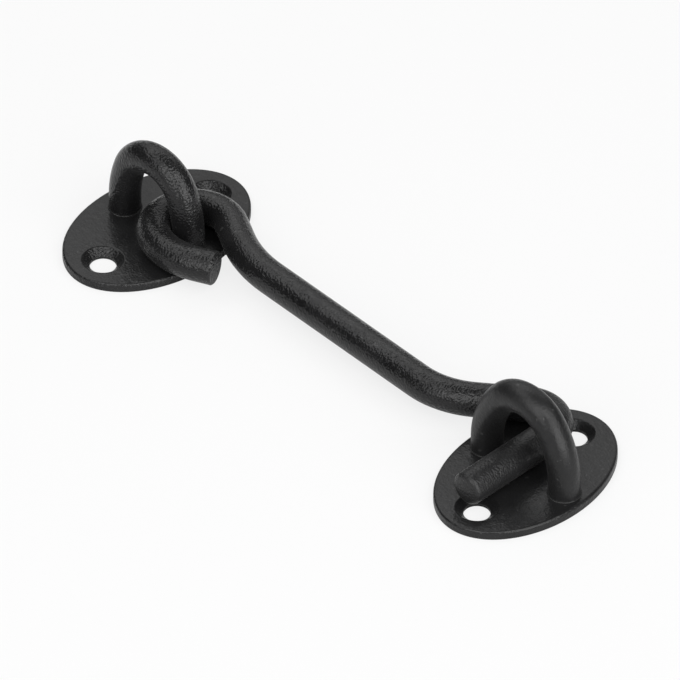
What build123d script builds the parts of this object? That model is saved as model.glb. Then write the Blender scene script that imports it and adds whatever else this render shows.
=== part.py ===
from build123d import *
import os
from math import atan, atan2, degrees, radians, sin, tan

# Cabin hook for a barn door or gate, in millimetres and degrees.
# The origin is the centre of the pivot plate's back face. +X runs along the closed arm,
# +Y along the pivot plate's row of screws, and +Z out of the door.

# Round bars
ARM_DIA = 8.0
STAPLE_DIA = 7.5

# Oval plates, both cut to one pattern
PLATE_THICK = 2.3
PLATE_ROUND = 0.65
PLATE_BACK_ROUND = 0.3
FOOT_MARGIN = 1.7
SCREW_HOLE_DIA = 6.2
SCREW_SPACING = 34.5
SCREW_MARGIN = 3.0
SCREW_LAND = 0.65
SCREW_ANGLE = 96.0
SCREW_RIM_ROUND = 0.6

# Riveted feet of the staples
SPIGOT_DIA = 5.0
RIVET_HEAD_DIA = 7.2
RIVET_HEAD_DEPTH = 0.9
RIVET_CLEARANCE = 0.05
COLLAR_RIM = 0.25
COLLAR_HEIGHT = 0.2
COLLAR_ROUND = 0.12

# Staple arches: the top's height over the plate, the straight leg, how far the crown tightens
# and the whole bend from leg to leg
PIVOT_HEIGHT = 22.75
PIVOT_LEG = 3.3
PIVOT_TIGHTEN = 1.2
KEEPER_HEIGHT = 24.0
KEEPER_LEG = 3.2
KEEPER_TIGHTEN = 2.8
ARCH_ANGLE = 180.0

# Play between the arm and the staples
ARM_LIFT = 0.5
PIVOT_CLEARANCE = 0.2
EYE_SLACK = 1.1
FAR_LEG_PLAY = 5.0
KEEPER_SIDE_PLAY = 4.05

# The arm's bends along its centreline, from the eye's tip to the finger's end
TIP_RUN = 4.95
MOUTH_RADIUS = 16.2
MOUTH_ANGLE = 44.9
EYE_ANGLE = 188.2
NECK_RUN = 6.4
NECK_RADIUS = 34.0
NECK_ANGLE = 26.4
SHANK_RUN = 50.0
JOG_RADIUS = 21.2
JOG_ANGLE = 40.7
THROAT_RUN = 12.0
THROAT_INNER_RADIUS = 3.0
THROAT_ANGLE = 127.0
FINGER_RUN = 26.9
TIP_CHAMFER = 0.3
FINGER_DOME_RADIUS = 12.0
FINGER_ROUND = 1.2

# How the closed arm lies: its shank's heading, and the side of the eye away from the pivot leg
SHANK_ANGLE = -3.2
EYE_SEAT_ANGLE = 47.0

# The keeper's place, measured from the finger's end and square to the finger
KEEPER_REACH = 19.2
KEEPER_OFFSET = -0.8
KEEPER_STAPLE_ANGLE = 1.2
KEEPER_PLATE_ANGLE = 4.7

# Sizes that follow from these
PIVOT_SPACING = STAPLE_DIA + PIVOT_CLEARANCE + ARM_DIA + FAR_LEG_PLAY
KEEPER_SPACING = STAPLE_DIA + ARM_DIA + 2 * KEEPER_SIDE_PLAY
WIDEST_SPACING = max(PIVOT_SPACING, KEEPER_SPACING)
PLATE_WIDTH = WIDEST_SPACING + STAPLE_DIA + 2 * FOOT_MARGIN
CONE_DEPTH = PLATE_THICK - SCREW_LAND
CONE_DIA = SCREW_HOLE_DIA + 2 * CONE_DEPTH * tan(radians(SCREW_ANGLE / 2))
PLATE_LENGTH = SCREW_SPACING + CONE_DIA + 2 * SCREW_MARGIN
EYE_RADIUS = (STAPLE_DIA + ARM_DIA) / 2 + PIVOT_CLEARANCE + EYE_SLACK
THROAT_RADIUS = THROAT_INNER_RADIUS + ARM_DIA / 2
ARM_LEVEL = PLATE_THICK + ARM_LIFT + ARM_DIA / 2
STANDING = (Align.CENTER, Align.CENTER, Align.MIN)


def centreline(moves):
    """Edges of a bar's centreline in the XY plane from the origin along +X.
    A number is a straight run, and a pair is a bend's radius and turn."""
    point = Vector(0, 0, 0)
    heading = Vector(1, 0, 0)
    edges = []
    for move in moves:
        if isinstance(move, tuple):
            radius, turn = move
            edge = JernArc(point, heading, radius, turn)
        else:
            edge = PolarLine(point, move, direction=heading)
        edges.append(edge)
        point = edge @ 1
        heading = edge % 1
    return edges


def bent_bar(edges, diameter):
    """A round bar bent along a centreline."""
    line = Wire(edges)
    section = Plane(origin=line @ 0, z_dir=line % 0) * Circle(diameter / 2)
    return sweep(section, path=line)


def screw_hole():
    """A countersunk hole through a plate, wide end up."""
    bore = Cylinder(SCREW_HOLE_DIA / 2, PLATE_THICK, align=STANDING)
    cone = Cone(SCREW_HOLE_DIA / 2, CONE_DIA / 2, CONE_DEPTH, align=STANDING)
    return bore + Pos(0, 0, SCREW_LAND) * cone


def rivet(clearance):
    """A staple foot's spigot through the plate and its head, flush with the plate's back."""
    shank = Cylinder(SPIGOT_DIA / 2 + clearance, PLATE_THICK, align=STANDING)
    wide = RIVET_HEAD_DIA / 2 + clearance
    head = Cone(wide, SPIGOT_DIA / 2 + clearance, RIVET_HEAD_DEPTH, align=STANDING)
    return shank + head


def rivet_places(spacing):
    """The two feet of a staple."""
    return [Pos(-spacing / 2, 0, 0), Pos(spacing / 2, 0, 0)]


def plate(rivet_spacing, rivet_turn):
    """An oval plate with its screws along Y and its rivets along X, turned by rivet_turn."""
    blank = extrude(Ellipse(PLATE_WIDTH / 2, PLATE_LENGTH / 2), PLATE_THICK)
    blank = fillet(blank.edges().group_by(Axis.Z)[-1], PLATE_ROUND)
    blank = fillet(blank.edges().group_by(Axis.Z)[0], PLATE_BACK_ROUND)
    for side in (-1, 1):
        blank -= Pos(0, side * SCREW_SPACING / 2, 0) * screw_hole()
    rims = [edge for edge in blank.edges().filter_by(GeomType.CIRCLE) if edge.radius > CONE_DIA / 2 - 0.01]
    blank = fillet(rims, SCREW_RIM_ROUND)
    for place in rivet_places(rivet_spacing):
        blank -= Rot(0, 0, rivet_turn) * place * rivet(RIVET_CLEARANCE)
    return blank


def staple(spacing, height, leg, tighten):
    """A bar bent to a three-centred arch, with collared feet riveted through the plate."""
    half = spacing / 2
    crown_radius = half - tighten
    rise = height - STAPLE_DIA / 2 - leg - crown_radius
    haunch_turn = 2 * degrees(atan(tighten / rise))
    haunch_radius = crown_radius + rise / sin(radians(haunch_turn))
    haunch = (haunch_radius, haunch_turn)
    crown = (crown_radius, ARCH_ANGLE - 2 * haunch_turn)
    upright = Plane(origin=(-half, 0, PLATE_THICK), x_dir=(0, 0, 1), z_dir=(0, 1, 0))
    body = upright * bent_bar(centreline([leg, haunch, crown, haunch, leg]), STAPLE_DIA)
    collar = Cylinder(STAPLE_DIA / 2 + COLLAR_RIM, COLLAR_HEIGHT, align=STANDING)
    collar = fillet(collar.edges().group_by(Axis.Z)[-1], COLLAR_ROUND)
    foot = Pos(0, 0, PLATE_THICK) * collar + rivet(0)
    for place in rivet_places(spacing):
        body += place * foot
    return body


def arm_route():
    """The closed arm's centreline, drawn from the eye's tip and then laid on the pivot leg."""
    mouth = (MOUTH_RADIUS, -MOUTH_ANGLE)
    eye = (EYE_RADIUS, -EYE_ANGLE)
    neck = (NECK_RADIUS, NECK_ANGLE)
    jog = (JOG_RADIUS, JOG_ANGLE)
    throat = (THROAT_RADIUS, -THROAT_ANGLE)
    edges = centreline([TIP_RUN, mouth, eye, NECK_RUN, neck, SHANK_RUN, jog, THROAT_RUN, throat, FINGER_RUN])
    eye_centre = edges[2].center_point
    drawn_heading = NECK_ANGLE - MOUTH_ANGLE - EYE_ANGLE
    seat = Vector(EYE_SLACK, 0, ARM_LEVEL).rotate(Axis.Z, EYE_SEAT_ANGLE)
    laid = Pos(PIVOT_AXIS + seat) * Rot(0, 0, SHANK_ANGLE - drawn_heading) * Pos(-eye_centre)
    return [laid * edge for edge in edges]


def arm(route):
    """The arm, with a sawn tip at the eye and a domed end on the finger, cut from a longer bar."""
    end = route[-1] @ 1
    heading = route[-1] % 1
    spare = PolarLine(end, ARM_DIA / 4, direction=heading)
    bar = bent_bar([*route, spare], ARM_DIA)
    tip = bar.faces().sort_by_distance(route[0] @ 0)[0]
    bar = chamfer(tip.edges(), TIP_CHAMFER)
    dome = Pos(end - FINGER_DOME_RADIUS * heading) * Sphere(FINGER_DOME_RADIUS)
    bar -= Plane(origin=end, z_dir=heading) * Cylinder(ARM_DIA, ARM_DIA) - dome
    domed = bar.faces().sort_by_distance(end)[0]
    return fillet(domed.edges(), FINGER_ROUND)


PIVOT_AXIS = Vector(PIVOT_SPACING / 2, 0, 0)
route = arm_route()

# The keeper stands astride the finger, which points from its end back to the throat
finger_end = route[-1] @ 1
inward = -(route[-1] % 1)
sideways = inward.rotate(Axis.Z, 90)
keeper_spot = finger_end + KEEPER_REACH * inward + KEEPER_OFFSET * sideways
keeper_square = degrees(atan2(-inward.X, inward.Y))
keeper_floor = Pos(keeper_spot.X, keeper_spot.Y, 0)
keeper_plate_place = keeper_floor * Rot(0, 0, keeper_square + KEEPER_PLATE_ANGLE)
keeper_staple_place = keeper_floor * Rot(0, 0, keeper_square + KEEPER_STAPLE_ANGLE)

nodes = {
    "pivot_plate": plate(PIVOT_SPACING, 0),
    "pivot_staple": staple(PIVOT_SPACING, PIVOT_HEIGHT, PIVOT_LEG, PIVOT_TIGHTEN),
    "hook_arm": arm(route),
    "keeper_plate": keeper_plate_place * plate(KEEPER_SPACING, KEEPER_STAPLE_ANGLE - KEEPER_PLATE_ANGLE),
    "keeper_staple": keeper_staple_place * staple(KEEPER_SPACING, KEEPER_HEIGHT, KEEPER_LEG, KEEPER_TIGHTEN),
}

os.makedirs("parts", exist_ok=True)
for name, solid in nodes.items():
    export_step(solid, f"parts/{name}.step")

print("pivot axis x", round(PIVOT_AXIS.X, 3))
print("keeper centre", round(keeper_spot.X, 3), round(keeper_spot.Y, 3))
print("keeper plate turn", round(keeper_square + KEEPER_PLATE_ANGLE, 3))
print("plate size", round(PLATE_LENGTH, 3), round(PLATE_WIDTH, 3), "arm level", ARM_LEVEL)
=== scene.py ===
from math import cos, radians, sin, tan

import bpy
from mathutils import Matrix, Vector


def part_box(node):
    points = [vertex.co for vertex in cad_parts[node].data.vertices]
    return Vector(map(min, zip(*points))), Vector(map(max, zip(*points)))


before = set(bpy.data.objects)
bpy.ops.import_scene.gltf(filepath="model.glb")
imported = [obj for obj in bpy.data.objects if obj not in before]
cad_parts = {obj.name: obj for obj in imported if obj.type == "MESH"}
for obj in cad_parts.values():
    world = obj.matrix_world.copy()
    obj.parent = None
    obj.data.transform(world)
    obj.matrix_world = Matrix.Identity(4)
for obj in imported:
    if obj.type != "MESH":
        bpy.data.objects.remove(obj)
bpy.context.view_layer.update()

MM = 0.001

# Camera, from the photograph's own perspective
PHOTO_AZIMUTH = 45.0
PHOTO_ELEVATION = 38.75
AIM = Vector((68.52, -9.13, 12.9)) * MM
CAMERA_DISTANCE = 3.834
LENS = 897.0
SENSOR_WIDTH = 36.0

# Softboxes: name, azimuth, elevation, width and height in degrees as the object sees them, and watts
LAMP_DISTANCE = 1.6
SOFTBOXES = [
    ("back", 220, 38, 70, 44, 7.7),
    ("back high", 262, 58, 56, 30, 6.1),
    ("front high", 335, 60, 56, 30, 5.2),
    ("front left", 352, 28, 28, 36, 4.1),
    ("front", 20, 28, 28, 36, 7.8),
    ("front top", 45, 55, 40, 18, 6.4),
    ("right", 96, 44, 50, 40, 15.0),
    ("right low", 82, 12, 50, 24, 14.2),
]

# Ground and surroundings
FLOOR_SIZE = 6.0
FLOOR_DROP = 0.05 * MM
FLOOR_COLOR = (0.70, 0.70, 0.70, 1.0)
FLOOR_SHADOW_SHARE = 0.22
DIM_SURROUND = (0.01, 0.01, 0.01, 1.0)
BACKGROUND_WHITE = (1.0, 1.0, 1.0, 1.0)

# Black powder coat, the same on every piece
COAT_DARK = (0.0050, 0.0050, 0.0052, 1.0)
COAT_PALE = (0.0100, 0.0100, 0.0103, 1.0)
# The pale colour of motes, worn edges and the rubbed finger; along edges it is also a painted highlight,
# on the finger painted light
COAT_WORN = (0.0300, 0.0300, 0.0300, 1.0)
COAT_IOR = 1.38
COAT_SHEEN = 0.03
ROUGHNESS_SPREAD = 0.05

# The coat's noises: the size of each one's lumps and how many finer layers lie on them.
# The grain's height differs from piece to piece and is given with the coats below.
GRAIN_SIZE = 0.48 * MM
GRAIN_DETAIL = 0.2
PEEL_SIZE = 1.4 * MM
PEEL_DETAIL = 2.0
PEEL_HEIGHT = 0.10 * MM
PATCH_SIZE = 9.0 * MM
PATCH_DETAIL = 4.0
MOTE_SIZE = 1.1 * MM
MOTE_DETAIL = 0.0

# The noise's value where a patch or a mote starts, and where it is full
PATCH_FADE = (0.3, 0.7)
MOTE_FADE = (0.78, 0.82)

# Edges are worn smooth and painted paler, wear and a painted highlight in one: how far the bevelled
# normal agrees with the true one where that starts, and where it is full
EDGE_REACH = 0.5 * MM
EDGE_FADE = (0.98, 0.85)
WORN_SMOOTHER = 0.06

# Inner corners are rough: how open the surface is where that starts, and where it is full
CORNER_REACH = 2.0 * MM
CORNER_FADE = (0.95, 0.65)
CORNER_ROUGHER = 0.30

# How many rays look for edges and for corners
REACH_SAMPLES = 4

# The depth under a plate's face where a recess starts, and where it is full
RECESS_FADE = (0.10 * MM, 0.25 * MM)

# The finger's coat is rubbed dull where it slides through the keeper, and painted paler there as painted
# light: the place along the closed arm where that starts, and where it is full
RUB_FADE = (98 * MM, 112 * MM)
RUB_ROUGHER = 0.16
# Painted light: the share of the pale colour painted on the finger, as if more light fell on it
FINGER_PAINTED_LIGHT = 0.10

# Each piece's own coat: the grain's height on open faces, its height in countersinks and inner
# corners, and the roughness of the smoother patches. The arm and its staple are the coarsest.
COATS = {
    "pivot_plate": dict(face_grain=0.04 * MM, recess_grain=0.20 * MM, roughness=0.27),
    "pivot_staple": dict(face_grain=0.15 * MM, recess_grain=0.30 * MM, roughness=0.19),
    # The arm's finger is rubbed rougher and also painted paler, a painted light
    "hook_arm": dict(face_grain=0.14 * MM, recess_grain=0.14 * MM, roughness=0.19, rubbed_and_painted_light_finger=True),
    "keeper_plate": dict(face_grain=0.04 * MM, recess_grain=0.06 * MM, roughness=0.28),
    "keeper_staple": dict(face_grain=0.04 * MM, recess_grain=0.20 * MM, roughness=0.34),
}


def direction(azimuth, elevation):
    """The unit vector towards a place round the object. Azimuth 0 is -Y and 90 is +X."""
    a = radians(azimuth)
    e = radians(elevation)
    return Vector((sin(a) * cos(e), -cos(a) * cos(e), sin(e)))


def link(obj):
    """Puts a new object into the scene."""
    bpy.context.scene.collection.objects.link(obj)
    return obj


def aim_at(obj, target):
    """Turns a camera or lamp towards a point."""
    obj.rotation_mode = "QUATERNION"
    obj.rotation_quaternion = (target - obj.location).to_track_quat("-Z", "Y")


def add_camera():
    """The camera, at the photograph's angle and framing."""
    data = bpy.data.cameras.new("camera")
    data.lens = LENS
    data.sensor_width = SENSOR_WIDTH
    camera = link(bpy.data.objects.new("camera", data))
    camera.location = AIM + direction(PHOTO_AZIMUTH, PHOTO_ELEVATION) * CAMERA_DISTANCE
    aim_at(camera, AIM)
    bpy.context.scene.camera = camera


def add_softbox(name, azimuth, elevation, width, height, power):
    """A flat soft lamp that faces the object and isn't seen itself."""
    data = bpy.data.lights.new(name, "AREA")
    data.shape = "RECTANGLE"
    data.size = 2 * LAMP_DISTANCE * tan(radians(width / 2))
    data.size_y = 2 * LAMP_DISTANCE * tan(radians(height / 2))
    data.energy = power
    lamp = link(bpy.data.objects.new(name, data))
    lamp.location = AIM + direction(azimuth, elevation) * LAMP_DISTANCE
    lamp.visible_camera = False
    aim_at(lamp, AIM)


def empty_tree(owner):
    """The node tree of a material or world, with nothing in it."""
    owner.use_nodes = True
    owner.node_tree.nodes.clear()
    return owner.node_tree


def add_node(tree, kind, inputs, output=0, **settings):
    """Adds a node with its settings, and gives one of its outputs.
    An input is a number, a colour or another node's output."""
    node = tree.nodes.new(kind)
    for name, setting in settings.items():
        setattr(node, name, setting)
    for name, value in inputs.items():
        if isinstance(value, bpy.types.NodeSocket):
            tree.links.new(value, node.inputs[name])
        else:
            node.inputs[name].default_value = value
    return node.outputs[output]


def set_surface(tree, kind, shader):
    """Ends a node tree with its output node."""
    output = tree.nodes.new(kind)
    tree.links.new(shader, output.inputs["Surface"])


def for_camera(tree, plain, shown):
    """One shader for the light on the object and another for what the camera sees directly."""
    is_camera = add_node(tree, "ShaderNodeLightPath", {}, "Is Camera Ray")
    return add_node(tree, "ShaderNodeMixShader", {0: is_camera, 1: plain, 2: shown})


def add_floor():
    """A pale floor that keeps the object's shadow, faintly, under a white ground."""
    half = FLOOR_SIZE / 2
    mesh = bpy.data.meshes.new("floor")
    corners = [(x * half, y * half, -FLOOR_DROP) for x, y in ((-1, -1), (1, -1), (1, 1), (-1, 1))]
    mesh.from_pydata(corners, [], [(0, 1, 2, 3)])
    floor = link(bpy.data.objects.new("floor", mesh))
    material = bpy.data.materials.new("floor")
    tree = empty_tree(material)
    pale = add_node(tree, "ShaderNodeBsdfDiffuse", {"Color": FLOOR_COLOR})
    white = add_node(tree, "ShaderNodeEmission", {"Color": BACKGROUND_WHITE})
    shadowed = add_node(tree, "ShaderNodeMixShader", {0: FLOOR_SHADOW_SHARE, 1: white, 2: pale})
    set_surface(tree, "ShaderNodeOutputMaterial", for_camera(tree, pale, shadowed))
    mesh.materials.append(material)


def add_world():
    """A dim room that the camera sees as white."""
    world = bpy.data.worlds.new("studio")
    bpy.context.scene.world = world
    tree = empty_tree(world)
    surround = add_node(tree, "ShaderNodeBackground", {"Color": DIM_SURROUND})
    white = add_node(tree, "ShaderNodeBackground", {"Color": BACKGROUND_WHITE})
    set_surface(tree, "ShaderNodeOutputWorld", for_camera(tree, surround, white))


def add_noise(tree, coords, size, detail):
    """A noise with lumps of one size, from 0 to 1."""
    inputs = {"Scale": 1 / size, "Detail": detail, "Vector": coords}
    return add_node(tree, "ShaderNodeTexNoise", inputs, "Fac")


def remap(tree, value, start, full, low=0.0, high=1.0):
    """Turns a value into low at its start and high where it is full, and stays between the two."""
    inputs = {"Value": value, "From Min": start, "From Max": full, "To Min": low, "To Max": high}
    return add_node(tree, "ShaderNodeMapRange", inputs, "Result")


def scale(tree, share, low, high):
    """Turns a share of 0 to 1 into low to high."""
    return remap(tree, share, 0.0, 1.0, low, high)


def combine(tree, operation, first, second):
    """Adds or subtracts two values or takes the larger, and stays between 0 and 1."""
    return add_node(tree, "ShaderNodeMath", {0: first, 1: second}, operation=operation, use_clamp=True)


def mix_color(tree, share, first, second):
    """The first colour where the share is 0 and the second where it is 1."""
    return add_node(tree, "ShaderNodeMixRGB", {"Fac": share, "Color1": first, "Color2": second}, "Color")


def edge_wear_and_painted_highlight(tree):
    """0 on flat and gently curved faces and up to 1 along edges, from a bevelled normal."""
    bevelled = add_node(tree, "ShaderNodeBevel", {"Radius": EDGE_REACH}, samples=REACH_SAMPLES)
    plain = add_node(tree, "ShaderNodeNewGeometry", {}, "Normal")
    normals = {0: bevelled, 1: plain}
    agreement = add_node(tree, "ShaderNodeVectorMath", normals, "Value", operation="DOT_PRODUCT")
    return remap(tree, agreement, *EDGE_FADE)


def corner_share(tree):
    """0 where a surface stands free and up to 1 in corners, from the piece's own shape."""
    inputs = {"Distance": CORNER_REACH}
    settings = {"samples": REACH_SAMPLES, "only_local": True}
    openness = add_node(tree, "ShaderNodeAmbientOcclusion", inputs, "AO", **settings)
    return remap(tree, openness, *CORNER_FADE)


def below_face(tree, coords):
    """0 on a plate's face and above it, and up to 1 lower, as in countersinks and on its side."""
    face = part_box("pivot_plate")[1].z
    start, full = RECESS_FADE
    height = add_node(tree, "ShaderNodeSeparateXYZ", {0: coords}, "Z")
    return remap(tree, height, face - start, face - full)


def finger_rub_and_painted_light(tree, coords):
    """0 on the arm's shank and up to 1 on its finger, by the place along the closed arm."""
    along = add_node(tree, "ShaderNodeSeparateXYZ", {0: coords}, "X")
    return remap(tree, along, *RUB_FADE)


def coat_bumps(tree, coords, grain_height):
    """Fine grain on a slow unevenness."""
    grain = add_noise(tree, coords, GRAIN_SIZE, GRAIN_DETAIL)
    peel = add_noise(tree, coords, PEEL_SIZE, PEEL_DETAIL)
    uneven = add_node(tree, "ShaderNodeBump", {"Height": peel, "Distance": PEEL_HEIGHT})
    return add_node(tree, "ShaderNodeBump", {"Height": grain, "Distance": grain_height, "Normal": uneven})


def powder_coat(name, face_grain, recess_grain, roughness, rubbed_and_painted_light_finger=False):
    """Black textured powder coat, uneven in shade, with a few pale motes, rubbed along edges and painted
    paler there as a painted highlight, and on the finger painted paler as painted light.
    """
    material = bpy.data.materials.new(name)
    tree = empty_tree(material)
    coords = add_node(tree, "ShaderNodeTexCoord", {}, "Object")
    patches = remap(tree, add_noise(tree, coords, PATCH_SIZE, PATCH_DETAIL), *PATCH_FADE)
    motes = remap(tree, add_noise(tree, coords, MOTE_SIZE, MOTE_DETAIL), *MOTE_FADE)
    corners = corner_share(tree)
    # Edges: worn, and painted paler as a painted highlight, but not in inner corners
    wear_and_painted_highlight = combine(tree, "SUBTRACT", edge_wear_and_painted_highlight(tree), corners)
    recesses = combine(tree, "MAXIMUM", below_face(tree, coords), corners)

    color = mix_color(tree, patches, COAT_DARK, COAT_PALE)
    color = mix_color(tree, motes, color, COAT_WORN)
    # Painted highlight along edges, on top of real wear: edges take the pale colour
    color = mix_color(tree, wear_and_painted_highlight, color, COAT_WORN)
    rough = scale(tree, patches, roughness, roughness + ROUGHNESS_SPREAD)
    rough = combine(tree, "SUBTRACT", rough, scale(tree, wear_and_painted_highlight, 0.0, WORN_SMOOTHER))
    rough = combine(tree, "ADD", rough, scale(tree, corners, 0.0, CORNER_ROUGHER))
    # The finger: rubbed rougher, and painted paler as painted light
    if rubbed_and_painted_light_finger:
        rub_and_painted_light = finger_rub_and_painted_light(tree, coords)
        rough = combine(tree, "ADD", rough, scale(tree, rub_and_painted_light, 0.0, RUB_ROUGHER))
        color = mix_color(tree, scale(tree, rub_and_painted_light, 0.0, FINGER_PAINTED_LIGHT), color, COAT_WORN)

    shader = add_node(tree, "ShaderNodeBsdfPrincipled", {
        "Base Color": color,
        "Roughness": rough,
        "IOR": COAT_IOR,
        "Sheen Weight": COAT_SHEEN,
        "Normal": coat_bumps(tree, coords, scale(tree, recesses, face_grain, recess_grain)),
    })
    set_surface(tree, "ShaderNodeOutputMaterial", shader)
    return material


def dress(node, material):
    """Gives a CAD piece its finish."""
    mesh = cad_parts[node].data
    mesh.materials.clear()
    mesh.materials.append(material)


add_camera()
for softbox in SOFTBOXES:
    add_softbox(*softbox)
add_floor()
add_world()
for node, coat in COATS.items():
    dress(node, powder_coat(f"coat_{node}", **coat))

bpy.context.scene.view_settings.view_transform = "Standard"
